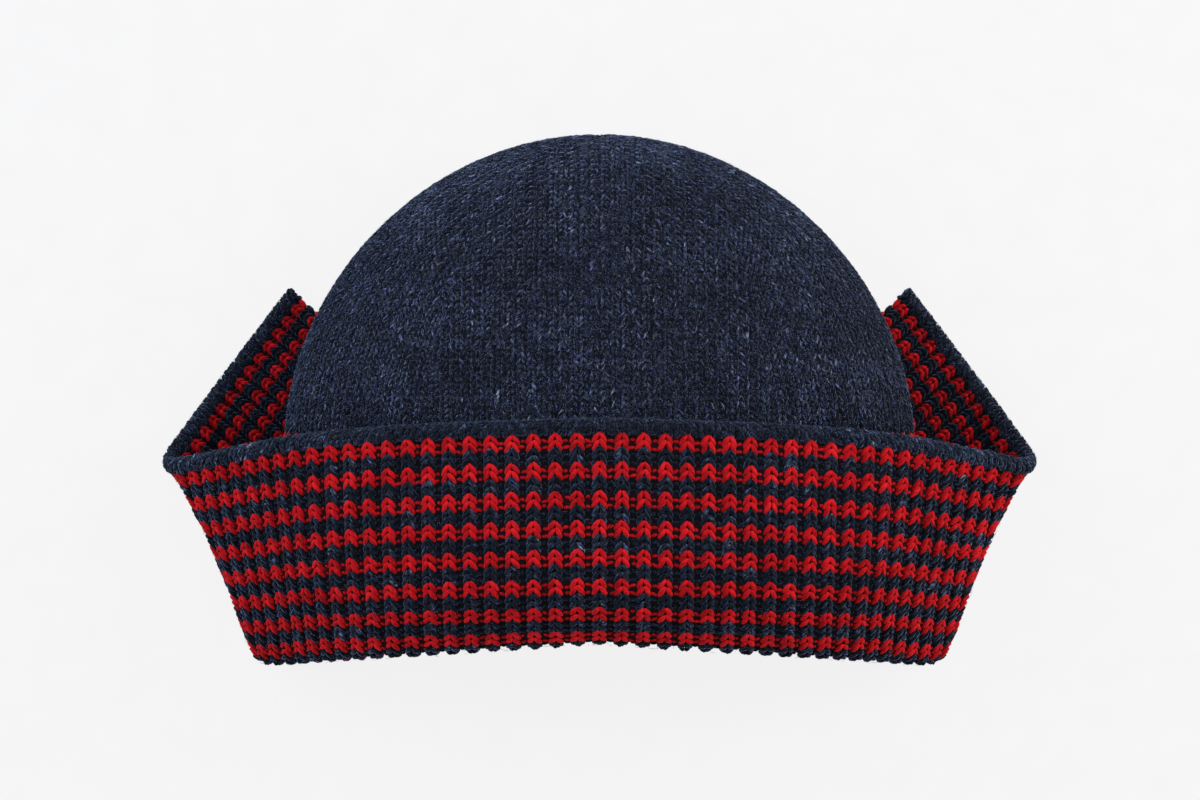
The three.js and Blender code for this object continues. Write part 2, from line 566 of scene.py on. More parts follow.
    def spots(self, columns: Array, courses: Array) -> RibSpots:
        """Gives places on the strip with their directions.

        Args:
            columns: Columns of stitches.
            courses: Courses from the free edge.

        Returns:
            The places, with run pointing to the free edge.
        """
        nudge = 0.25 / self.columns_per_half
        step = 0.2
        right = np.minimum(columns + nudge, 1.0)
        left = np.maximum(columns - nudge, -1.0)
        side = self.place(right, courses) - self.place(left, courses)
        upper = np.maximum(courses - step, 0.0)
        lower = np.minimum(courses + step, self.courses)
        climb = self.place(columns, upper) - self.place(columns, lower)
        rise = np.linalg.norm(climb, axis=1) / (lower - upper)
        run = unit(climb)
        normal = unit(np.cross(side, run))
        across = np.cross(run, normal)
        pitch = (side * across).sum(axis=1) / ((right - left) * self.columns_per_half)
        return RibSpots(self.place(columns, courses), across, run, normal, pitch, rise)


def turned(face: list[int]) -> list[int]:
    """Lists the points of a face from the lowest one on, so that every run has one order."""
    first = face.index(min(face))
    return face[first:] + face[:first]


class YarnPiece:
    """Collects many short lengths of yarn and joins them in one mesh."""

    def __init__(self, name: str, sides: int, rings: int) -> None:
        """Makes the one plump length of yarn that is repeated.

        Args:
            name: Name of the piece.
            sides: Sides of the yarn.
            rings: Steps along the yarn, or 1 for a fibre that tapers to its tip.
        """
        self.name = name
        shape = bmesh.new()
        if rings > 1:
            bmesh.ops.create_uvsphere(shape, u_segments=sides, v_segments=rings, radius=1.0)
        else:
            bmesh.ops.create_cone(
                shape, cap_ends=True, segments=sides, radius1=1.0, radius2=0.0, depth=2.0
            )
            bmesh.ops.remove_doubles(shape, verts=shape.verts, dist=SEAM)
        shape.verts.sort(key=lambda vert: vert.co.dot(POINT_ORDER))
        shape.verts.index_update()
        faces = sorted(turned([vert.index for vert in face.verts]) for face in shape.faces)
        self.shape = np.array([tuple(vert.co) for vert in shape.verts])
        self.loops = np.concatenate(faces)
        self.sizes = np.array([len(face) for face in faces])
        shape.free()
        self.places: list[Array] = []
        self.shades: list[Array] = []

    def lay(
        self,
        middles: Array,
        along: Array,
        normal: Array,
        half: tuple[Array | float, Array | float, Array | float],
        shade: Array,
    ) -> None:
        """Lays straight lengths of yarn.

        Args:
            middles: Middles of the lengths.
            along: Directions of the lengths.
            normal: Directions that the lengths face.
            half: Half the length, width and thickness.
            shade: How light each length is, about 0 to 1.
        """
        along = unit(along)
        width = unit(np.cross(normal, along))
        height = np.cross(along, width)
        local = self.shape[None, :, :]
        length, breadth, depth = (
            np.broadcast_to(np.asarray(size, float), shade.shape)[:, None, None] for size in half
        )
        places = (
            middles[:, None, :]
            + along[:, None, :] * local[..., 2:3] * length
            + width[:, None, :] * local[..., 0:1] * breadth
            + height[:, None, :] * local[..., 1:2] * depth
        )
        self.places.append(places)
        self.shades.append(shade)

    def finish(self, material: bpy.types.Material) -> bpy.types.Object:
        """Joins the lengths in one object.

        Args:
            material: Finish of the yarn.

        Returns:
            The object.
        """
        places = off_table(np.concatenate(self.places))
        shades = np.concatenate(self.shades)
        count, points = places.shape[:2]
        loops = (np.arange(count)[:, None] * points + self.loops[None, :]).ravel()
        mesh = bpy.data.meshes.new(self.name)
        fill_mesh(mesh, places.reshape(-1, 3), loops, np.tile(self.sizes, count))
        mark(mesh, "lay", np.tile(self.shape, (count, 1)))
        mark(mesh, "shade", np.repeat(shades, points))
        return dress(mesh, material)


def off_table(places: Array) -> Array:
    """Lifts the points that would lie in the table to just above it.

    Args:
        places: Points in millimetres.

    Returns:
        The points, none of them in the table.
    """
    heights = np.maximum(places[..., 2:], TABLE_CLEARANCE)
    return np.concatenate([places[..., :2], heights], axis=-1)


def fill_mesh(mesh: bpy.types.Mesh, places: Array, loops: Array, sizes: Array) -> None:
    """Fills a mesh from arrays, with smooth faces.

    Args:
        mesh: The mesh.
        places: Points in millimetres.
        loops: Points of all faces, one face after the other.
        sizes: How many points each face has.
    """
    mesh.vertices.add(len(places))
    mesh.vertices.foreach_set("co", (places * METRES).astype(np.float32).ravel())
    mesh.loops.add(len(loops))
    mesh.loops.foreach_set("vertex_index", loops.astype(np.int32))
    mesh.polygons.add(len(sizes))
    starts = np.concatenate([[0], np.cumsum(sizes)[:-1]])
    mesh.polygons.foreach_set("loop_start", starts.astype(np.int32))
    mesh.update(calc_edges=True)
    mesh.polygons.foreach_set("use_smooth", np.ones(len(sizes), dtype=bool))
    mesh.validate()


def mark(mesh: bpy.types.Mesh, name: str, values: Array) -> None:
    """Keeps a number or a vector with each point of a mesh, for its finish.

    Args:
        mesh: The mesh.
        name: Name of the attribute.
        values: One number or vector for each point.
    """
    kind, key = ("FLOAT", "value") if values.ndim == 1 else ("FLOAT_VECTOR", "vector")
    attribute = mesh.attributes.new(name, kind, "POINT")
    attribute.data.foreach_set(key, values.astype(np.float32).ravel())


def add_object(name: str, data: bpy.types.ID) -> bpy.types.Object:
    """Puts a new object in the scene.

    Args:
        name: Its name.
        data: Its mesh, light or camera.

    Returns:
        The object.
    """
    thing = bpy.data.objects.new(name, data)
    bpy.context.collection.objects.link(thing)
    return thing


def dress(mesh: bpy.types.Mesh, material: bpy.types.Material) -> bpy.types.Object:
    """Makes an object of a mesh that rides on the hat.

    Args:
        mesh: The mesh.
        material: Its finish.

    Returns:
        The object.
    """
    piece = add_object(mesh.name, mesh)
    mesh.materials.append(material)
    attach(piece, BODY)
    return piece


def add_sheet(shape: bmesh.types.BMesh, places: Array) -> None:
    """Adds a sheet of faces through a grid of points.

    Args:
        shape: The shape that takes it.
        places: Points in millimetres, shaped (rows, columns, 3).
    """
    rows, columns = places.shape[:2]
    grid = bmesh.ops.create_grid(shape, x_segments=columns - 1, y_segments=rows - 1, size=1.0)
    for vert, place in zip(grid["verts"], places.reshape(-1, 3) * METRES):
        vert.co = place


def outline(shape: bmesh.types.BMesh) -> list[bmesh.types.BMEdge]:
    """Lists the open edges of a shape."""
    return [edge for edge in shape.edges if edge.is_boundary]


def smooth_mesh(name: str, shape: bmesh.types.BMesh) -> bpy.types.Mesh:
    """Makes a mesh with smooth faces that point outwards.

    Args:
        name: Name of the mesh.
        shape: Its closed shape, which is freed.

    Returns:
        The mesh.
    """
    bmesh.ops.recalc_face_normals(shape, faces=shape.faces)
    mesh = bpy.data.meshes.new(name)
    shape.to_mesh(mesh)
    shape.free()
    mesh.polygons.foreach_set("use_smooth", np.ones(len(mesh.polygons), dtype=bool))
    return mesh


def closed_wall(name: str, outer: Array, inner: Array) -> bpy.types.Mesh:
    """Makes a closed wall between two sheets of points.

    Args:
        name: Name of the mesh.
        outer: Points of the outer sheet, shaped (rows, columns, 3).
        inner: Points of the inner sheet.

    Returns:
        The mesh, with the points of the outer sheet first.
    """
    shape = bmesh.new()
    for sheet in (outer, inner):
        add_sheet(shape, sheet)
    bmesh.ops.bridge_loops(shape, edges=outline(shape))
    return smooth_mesh(name, shape)


def closed_tube(name: str, rings: Array) -> bpy.types.Mesh:
    """Makes a closed tube through rings of points.

    Args:
        name: Name of the mesh.
        rings: Points, shaped (rings, sides, 3).

    Returns:
        The mesh.
    """
    shape = bmesh.new()
    add_sheet(shape, np.concatenate([rings, rings[:, :1]], axis=1))
    bmesh.ops.remove_doubles(shape, verts=shape.verts, dist=SEAM)
    bmesh.ops.holes_fill(shape, edges=outline(shape))
    return smooth_mesh(name, shape)


class Value:
    """A shader value that adds Math nodes where an expression uses it."""

    def __init__(self, graph: Graph, socket: bpy.types.NodeSocket) -> None:
        """Wraps a socket of a graph."""
        self.graph = graph
        self.socket = socket

    def _math(self, operation: str, first: Value | float, second: Value | float) -> Value:
        """Adds one Math node.

        Args:
            operation: The node's operation.
            first: Its first value.
            second: Its second value.

        Returns:
            The node's result.
        """
        return self.graph.node("ShaderNodeMath", {"operation": operation}, {0: first, 1: second})

    def __add__(self, other: Value | float) -> Value:
        """Adds."""
        return self._math("ADD", self, other)

    def __radd__(self, other: float) -> Value:
        """Adds to a number."""
        return self._math("ADD", other, self)

    def __sub__(self, other: Value | float) -> Value:
        """Subtracts."""
        return self._math("SUBTRACT", self, other)

    def __rsub__(self, other: float) -> Value:
        """Subtracts from a number."""
        return self._math("SUBTRACT", other, self)

    def __mul__(self, other: Value | float) -> Value:
        """Multiplies."""
        return self._math("MULTIPLY", self, other)

    def __rmul__(self, other: float) -> Value:
        """Multiplies a number."""
        return self._math("MULTIPLY", other, self)

    def wave(self) -> Value:
        """Gives the sine."""
        return self._math("SINE", self, 0.0)

    def above(self, other: float) -> Value:
        """Gives 1 where the value is over a number and 0 elsewhere."""
        return self._math("GREATER_THAN", self, other)

    def modulo(self, other: float) -> Value:
        """Gives the rest after division."""
        return self._math("FLOORED_MODULO", self, other)


class Graph:
    """The node tree of one material."""

    def __init__(self, name: str) -> None:
        """Starts a material with one main shader.

        Args:
            name: Name of the material.
        """
        self.material = bpy.data.materials.new(name)
        self.material.use_nodes = True
        self.tree = self.material.node_tree
        self.shader = self.tree.nodes["Principled BSDF"]

    def node(
        self,
        kind: str,
        settings: Mapping[str, Any] | None = None,
        sockets: Mapping[str | int, Any] | None = None,
        output: str | int = 0,
    ) -> Value:
        """Adds a node.

        Args:
            kind: Type of the node.
            settings: Its settings, with a ramp's stops as (place, colour) under "stops".
            sockets: Values or links of its inputs.
            output: The output that is given back.

        Returns:
            The output.
        """
        node = self.tree.nodes.new(kind)
        for name, setting in (settings or {}).items():
            if name == "stops":
                self._set_stops(node.color_ramp, setting)
            else:
                setattr(node, name, setting)
        for name, value in (sockets or {}).items():
            self.join(node.inputs[name], value)
        return Value(self, node.outputs[output])

    @staticmethod
    def _set_stops(ramp: bpy.types.ColorRamp, stops: Sequence[tuple[float, Colour]]) -> None:
        """Sets the stops of a ramp.

        Args:
            ramp: The ramp, which has two stops.
            stops: Places and colours, in order.
        """
        while len(ramp.elements) < len(stops):
            ramp.elements.new(1.0)
        for element, (place, colour) in zip(ramp.elements, stops):
            element.position = place
            element.color = (*colour, 1.0)

    def join(self, socket: bpy.types.NodeSocket, value: Any) -> None:
        """Links a value to an input, or sets a number or colour on it.

        Args:
            socket: The input.
            value: A Value, a number or a tuple.
        """
        if isinstance(value, Value):
            self.tree.links.new(value.socket, socket)
        else:
            socket.default_value = value

    def attribute(self, name: str, output: str) -> Value:
        """Reads an attribute of the piece.

        Args:
            name: Name of the attribute.
            output: "Fac" for a number or "Vector" for a vector.

        Returns:
            The attribute.
        """
        return self.node("ShaderNodeAttribute", {"attribute_name": name}, output=output)

    def noise(self, vector: Value, scale: float, detail: float = 2.0) -> Value:
        """Adds a noise.

        Args:
            vector: Where it is read.
            scale: Its scale.
            detail: Its detail.

        Returns:
            The noise, about 0.5.
        """
        return self.node(
            "ShaderNodeTexNoise", {}, {"Vector": vector, "Scale": scale, "Detail": detail}, "Fac"
        )

    def ramp(self, stops: Sequence[tuple[float, Colour]], value: Value) -> Value:
        """Turns a value into a colour."""
        return self.node("ShaderNodeValToRGB", {"stops": stops}, {"Fac": value}, "Color")

    def scaled(self, vector: Value, factors: Triple, shift: Value) -> Value:
        """Scales a vector along its axes and shifts it."""
        sockets = {0: vector, 1: factors, 2: shift}
        return self.node("ShaderNodeVectorMath", {"operation": "MULTIPLY_ADD"}, sockets)

    def mixed(self, share: Value | float, base: Value, over: Any, blend: str = "MIX") -> Value:
        """Lays one colour over another.

        Args:
            share: How much of it is laid on.
            base: The colour that is under it.
            over: The colour that is laid on, as a Value or with its alpha.
            blend: How the two are blended.

        Returns:
            The colour.
        """
        settings = {"data_type": "RGBA", "blend_type": blend}
        return self.node("ShaderNodeMix", settings, {0: share, 6: base, 7: over}, 2)

    def bump(self, strength: float, distance: float, height: Value) -> Value:
        """Adds a bump.

        Args:
            strength: Its strength.
            distance: Its depth in millimetres.
            height: How high each place is.

        Returns:
            The normal.
        """
        sockets = {"Strength": strength, "Distance": distance * METRES, "Height": height}
        return self.node("ShaderNodeBump", {}, sockets, "Normal")

    def places(self) -> Value:
        """Gives the place on the piece in metres."""
        return self.node("ShaderNodeTexCoord", output="Object")

    def surface(self, **sockets: Any) -> None:
        """Sets the main shader's inputs, with underscores for the spaces in their names."""
        for name, value in sockets.items():
            self.join(self.shader.inputs[name.replace("_", " ")], value)


@dataclass(frozen=True)
class YarnFinish:
    """Wool yarn in short lengths, mottled from length to length and along each of them.

    Attributes:
        name: Name of the material.
        stops: Colours from the darkest to the lightest wool.
        length_share: How much of the mottling goes from length to length.
        fibre_share: How much of it goes along the fibres.
        streaks: How often the fibres change across and along half a length.
        ply: Height of the ply's twist in millimetres.
        sheen: Weight of the fuzz's sheen.
        sheen_tint: Colour of that sheen.
        sheen_roughness: How far it spreads from the edges of a length.
        depth: How much darker than the middle of its colours the wool is.
        hue_share: How strongly single tufts of wool change hue.
        hues: What the tufts' colours are multiplied by.
        tuft_scale: How many tufts there are to a metre.
        patch_share: How much of the mottling goes over whole patches.
        patch_scale: How many patches there are to a metre.
        fibre_scale: How fast the fibres change from place to place.
        fibre_shift: How far they change from shade to shade.
        twist: How fast the ply turns along and round half a length.
        twist_height: How much of the relief is the ply's.
        fibre_height: How much of it is the fibres'.
        relief: Strength of the relief.
        roughness: Roughness of the wool.
        specular: Level of its gloss.
    """

    name: str
    stops: tuple[tuple[float, Colour], ...]
    length_share: float = 0.42
    fibre_share: float = 1.1
    streaks: Triple = (1.4, 1.4, 0.7)
    ply: float = 0.25
    sheen: float = 0.72
    sheen_tint: Colour = (0.42, 0.58, 1.0)
    sheen_roughness: float = 0.35
    depth: float = 0.065
    hue_share: float = 1.0
    hues: tuple[tuple[float, Colour], ...] = (
        (0.32, (0.62, 1.12, 1.2)),
        (0.43, (1.1, 1.04, 0.88)),
        (0.51, (0.97, 0.99, 0.97)),
        (0.59, (0.52, 0.84, 1.6)),
        (0.7, (1.1, 0.92, 1.2)),
    )
    tuft_scale: float = 760.0
    patch_share: float = 0.4
    patch_scale: float = 45.0
    fibre_scale: float = 400.0
    fibre_shift: float = 60.0
    twist: Pair = (5.5, 2.6)
    twist_height: float = 0.5
    fibre_height: float = 1.2
    relief: float = 0.6
    roughness: float = 0.92
    specular: float = 0.08

    def make(self) -> bpy.types.Material:
        """Makes the material.

        Returns:
            The material.
        """
        graph = Graph(self.name)
        shade = graph.attribute("shade", "Fac")
        lay = graph.attribute("lay", "Vector")
        places = graph.places()
        apart = graph.scaled(places, (self.fibre_scale,) * 3, shade * self.fibre_shift)
        fibre = graph.noise(graph.scaled(lay, self.streaks, apart), 1.0)
        patch = graph.noise(places, self.patch_scale)
        hue = graph.ramp(self.hues, graph.noise(places, self.tuft_scale))
        tone = (
            shade * self.length_share
            + (fibre - NOISE_MIDDLE) * (2.0 * self.fibre_share)
            + (patch - NOISE_MIDDLE) * self.patch_share
            + (1.0 - self.length_share) * NOISE_MIDDLE
            - self.depth
        )
        colour = graph.mixed(self.hue_share, graph.ramp(self.stops, tone), hue, "MULTIPLY")
        across, run = (graph.node("ShaderNodeSeparateXYZ", {}, {0: lay}, axis) for axis in "XZ")
        turn_run, turn_across = self.twist
        twist = (run * turn_run + across * turn_across).wave()
        height = twist * self.twist_height + fibre * self.fibre_height
        graph.surface(
            Base_Color=colour,
            Normal=graph.bump(self.relief, self.ply, height),
            Roughness=self.roughness,
            Specular_IOR_Level=self.specular,
            Sheen_Weight=self.sheen,
            Sheen_Roughness=self.sheen_roughness,
            Sheen_Tint=(*self.sheen_tint, 1.0),
        )
        return graph.material


@dataclass(frozen=True)
class ShadedGroundFinish:
    """The wool that is seen deep between the stitches, in stripes where it has courses, coloured far
    darker than its yarn as painted shade.

    Attributes:
        name: Name of the material.
        plain: Colour of the plain wool, darkened as painted shade.
        stripe: Colour of the stripes, where the piece has a course attribute, darkened as painted
            shade.
        stripe_courses: How many courses each stripe has.
        stripe_share: How strong the stripes are.
        stripe_wander: How far their edges wander, in courses.
        gap_shade_share: How light the wool is in the gaps between its fibres, where the relief is
            low, as painted shade.
        fibre_stops: Where the fibres' noise is darkest and lightest.
        fibre_scale: How many fibres there are to a metre.
        fibre_detail: How finely they are split.
        fibre_depth: Depth of the gaps in millimetres.
        relief: Strength of their relief.
        roughness: Roughness of the wool.
        specular: Level of its gloss.
    """

    name: str
    plain: Colour
    stripe: Colour | None = None
    stripe_courses: float = 2.0
    stripe_share: float = 0.8
    stripe_wander: float = 0.8
    gap_shade_share: float = 0.5
    fibre_stops: Pair = (0.3, 0.75)
    fibre_scale: float = 900.0
    fibre_detail: float = 3.0
    fibre_depth: float = 0.4
    relief: float = 0.5
    roughness: float = 0.95
    specular: float = 0.1

    def make(self) -> bpy.types.Material:
        """Makes the material.

        Returns:
            The material.
        """
        graph = Graph(self.name)
        fibre = graph.noise(graph.places(), self.fibre_scale, self.fibre_detail)
        # Painted shade: the wool is darker where the fibres' relief is low.
        dark = tuple(self.gap_shade_share * channel for channel in self.plain)
        colour = graph.ramp(tuple(zip(self.fibre_stops, (dark, self.plain))), fibre)
        if self.stripe is not None:
            wander = (fibre - NOISE_MIDDLE) * self.stripe_wander
            course = graph.attribute("course", "Fac") + wander
            band = 1.0 - course.modulo(2.0 * self.stripe_courses).above(self.stripe_courses)
            colour = graph.mixed(band * self.stripe_share, colour, (*self.stripe, 1.0))
        graph.surface(
            Base_Color=colour,
            Normal=graph.bump(self.relief, self.fibre_depth, fibre),
            Roughness=self.roughness,
            Specular_IOR_Level=self.specular,
        )
        return graph.material


NAVY_STOPS = (
    (0.08, from_srgb(6, 7, 10)),
    (0.4, from_srgb(20, 23, 30)),
    (0.62, from_srgb(36, 40, 51)),
    (0.82, from_srgb(72, 79, 100)),
    (1.0, from_srgb(138, 143, 160)),
)
RED_STOPS = (
    (0.1, from_srgb(116, 7, 12)),
    (0.5, from_srgb(186, 17, 24)),
    (0.9, from_srgb(214, 36, 40)),
)


@dataclass
class Crown:
    """The plain knit dome in four panels, with its stitches, wall and fuzz.

    The values that end in uneven are the spread of the stitches about their even places.
    """

    form: CrownForm
    wale: float = 4.0
    course: float = 2.4
    panel_edge: float = math.radians(32.0)
    panel_overlap: float = 0.3
    line_steps: int = 400
    fan_steps: int = 161
    leg_half: Triple = (1.95, 0.68, 0.52)
    leg_offset: float = 0.25
    leg_sink: float = 0.45
    lean: float = math.radians(24.0)
    lean_uneven: float = 0.1
    place_uneven: float = 0.12
    height_uneven: float = 0.1
    tip_sink: float = 0.18
    round_off: float = 0.2
    swell: Pair = (0.82, 1.18)
    top_seed: int = 3
    under_seed: int = 5
    wall_half: float = 0.8
    wall_steps: tuple[int, int] = (120, 40)
    rim_reach: float = 0.0021
    top_gap: float = 0.012
    fuzz_count: int = 25000
    fuzz_turn: float = 1.15
    fuzz_top: float = 0.995
    fuzz_sink: float = 0.1
    seed: int = 11

    def _panel_spots(self, middle: float, half_angle: float) -> tuple[Array, Array]:
        """Spreads the stitches of one panel, in columns that run on beside its middle line.

        Args:
            middle: Angle of the panel's middle round the rim.
            half_angle: Half the angle that the panel takes.

        Returns:
            Angles round the rim and from the rim, one for each stitch.
        """
        rises = np.linspace(0.0, math.pi / 2 - self.top_gap, self.line_steps)
        lengths = path_lengths(self.form.place(np.full_like(rises, middle), rises))
        levels = np.arange(0.5, lengths[-1] / self.course) * self.course
        turns, ups = [], []
        fan = np.linspace(-half_angle, half_angle, self.fan_steps) + middle
        for rise in np.interp(levels, lengths, rises):
            reach = path_lengths(self.form.place(fan, np.full_like(fan, rise)))
            reach -= np.interp(middle, fan, reach)
            first = math.ceil(reach[0] / self.wale - self.panel_overlap)
            last = math.floor(reach[-1] / self.wale + self.panel_overlap)
            columns = np.arange(first, last + 1)
            turns.append(np.interp(columns * self.wale, reach, fan))
            ups.append(np.full(len(columns), rise))
        return np.concatenate(turns), np.concatenate(ups)

    def _stitch(self, name: str, panels: Sequence[Pair], seed: int) -> YarnPiece:
        """Knits some panels of the crown.

        Args:
            name: Name of the piece.
            panels: Middle and half angle of each panel.
            seed: Seed of the mottling.

        Returns:
            The yarn.
        """
        rng = np.random.default_rng(seed)
        yarn = YarnPiece(name, YARN_SIDES, YARN_RINGS)
        length, width, depth = self.leg_half
        for middle, half_angle in panels:
            turn, rise = self._panel_spots(middle, half_angle)
            spots = self.form.spots(turn, rise)
            count = len(turn)
            for side in SIDES:
                lean = self.lean + rng.normal(0.0, self.lean_uneven, count)
                drift = rng.normal(0.0, self.place_uneven, (count, 1))
                slip = rng.normal(0.0, self.place_uneven, (count, 1))
                bob = rng.normal(0.0, self.height_uneven, (count, 1))
                place = (
                    spots.place
                    + spots.across * (side * self.leg_offset * self.wale + drift)
                    + spots.run * slip
                    + spots.normal * (self.form.wall / 2 - self.leg_sink + bob)
                )
                along = (
                    spots.run * np.cos(lean)[:, None]
                    + side * spots.across * np.sin(lean)[:, None]
                    - self.tip_sink * spots.normal
                )
                facing = spots.normal + self.round_off * side * spots.across
                swell = rng.uniform(*self.swell, count)
                half = (length * swell, width * swell, depth)
                yarn.lay(place, along, facing, half, Marl().shades(rng, count))
        return yarn

    def _fuzz(self) -> YarnPiece:
        """Scatters loose fibres over the crown.

        Returns:
            The fibres.
        """
        rng = np.random.default_rng(self.seed)
        turn = np.clip(rng.normal(0.0, self.fuzz_turn, self.fuzz_count), -math.pi, math.pi)
        rise = np.arcsin(rng.uniform(0.0, self.fuzz_top, self.fuzz_count))
        height = self.form.wall / 2 - self.fuzz_sink
        return LooseFibres().scatter("crown_fuzz", self.form.spots(turn, rise), height, self.seed)

    def build(self, yarn: bpy.types.Material, ground: bpy.types.Material) -> list[bpy.types.Object]:
        """Builds the crown.

        Args:
            yarn: Finish of the stitches.
            ground: Finish of the wall behind them, dark with painted shade.

        Returns:
            The wall, then the pieces on it.
        """
        quarter = math.pi / 2
        across = quarter - self.panel_edge
        top_panels = [(0.0, self.panel_edge), (quarter, across)]
        under_panels = [(math.pi, self.panel_edge), (-quarter, across)]
        pieces = [
            self._stitch("crown_top_knit", top_panels, self.top_seed).finish(yarn),
            self._stitch("crown_under_knit", under_panels, self.under_seed).finish(yarn),
            self._fuzz().finish(yarn),
        ]
        around, along = self.wall_steps
        turns = np.linspace(0.0, 2 * math.pi, around, endpoint=False)[None, :]
        rises = np.linspace(quarter - self.top_gap, -self.rim_reach, along)[:, None]
        turns, rises = np.broadcast_arrays(turns, rises)
        outer = self.form.place(turns, rises, self.wall_half)
        inner = self.form.place(turns, rises, -self.form.wall / 2)[::-1]
        wall = dress(closed_tube("crown_wall", np.concatenate([outer, inner])), ground)
        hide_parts("crown")
        return [wall, *pieces]


@dataclass(frozen=True)
class Marl:
    """The spread of shades in marled yarn: mostly dark, with a few light flecks.

    Attributes:
        light: How strongly the shades are drawn to the light end.
        dark: How strongly they are drawn to the dark end.
        fleck_share: Share of the lengths that are flecks.
        fleck: How much lighter the flecks are.
    """

    light: float = 2.2
    dark: float = 3.4
    fleck_share: float = 0.03
    fleck: float = 0.2

    def shades(self, rng: np.random.Generator, count: int) -> Array:
        """Gives shades from 0 to 1.

        Args:
            rng: Source of the mottling.
            count: How many lengths there are.

        Returns:
            The shades.
        """
        plain = rng.beta(self.light, self.dark, count)
        return np.clip(plain + (rng.random(count) < self.fleck_share) * self.fleck, 0.0, 1.0)


@dataclass(frozen=True)
class LooseFibres:
    """Single fibres that lift off the knit.

    Attributes:
        lift: Least and most slope of the fibres, before the power.
        lift_power: Power that draws the slopes to the least.
        half_length: Least and most half length.
        radius: Radius at the thick end.
        shade: Middle and spread of the shades.
        pale_share: Share of the fibres that are paler.
        paler: How much paler these are.
        sides: Sides of a fibre.
    """

    lift: Pair = (0.02, 0.4)
    lift_power: float = 1.5
    half_length: Pair = (0.7, 1.9)
    radius: float = 0.075
    shade: Pair = (0.55, 0.2)
    pale_share: float = 0.12
    paler: float = 0.35
    sides: int = 3

    def scatter(self, name: str, spots: Spots, height: float, seed: int) -> YarnPiece:
        """Lays the fibres.

        Args:
            name: Name of the piece.
            spots: Places that they lie over.
            height: How far from the middle of the cloth they start, along the normal.
            seed: Seed of their lengths and directions.

        Returns:
            The fibres.
        """
        rng = np.random.default_rng(seed)
        count = len(spots.place)
        angle = rng.uniform(0.0, 2 * math.pi, (count, 1))
        flat = spots.across * np.cos(angle) + spots.run * np.sin(angle)
        outward = spots.normal * np.sign(height)
        lift = rng.uniform(*self.lift, (count, 1)) ** self.lift_power
        half = rng.uniform(*self.half_length, count)
        place = spots.place + spots.normal * height + outward * lift * half[:, None]
        pale = rng.random(count) < self.pale_share
        shade = np.clip(rng.normal(*self.shade, count) + self.paler * pale, 0.0, 1.0)
        fibres = YarnPiece(name, self.sides, rings=1)
        fibres.lay(place, flat + lift * outward, outward, (half, self.radius, self.radius), shade)
        return fibres


def crossed(columns: Array, courses: Array) -> tuple[Array, Array]:
    """Pairs every column with every course.

    Args:
        columns: The columns.
        courses: The courses.

    Returns:
        The column and the course of each pair, one column after the other.
    """
    pairs = np.meshgrid(columns, courses, indexing="ij")
    return pairs[0].ravel(), pairs[1].ravel()


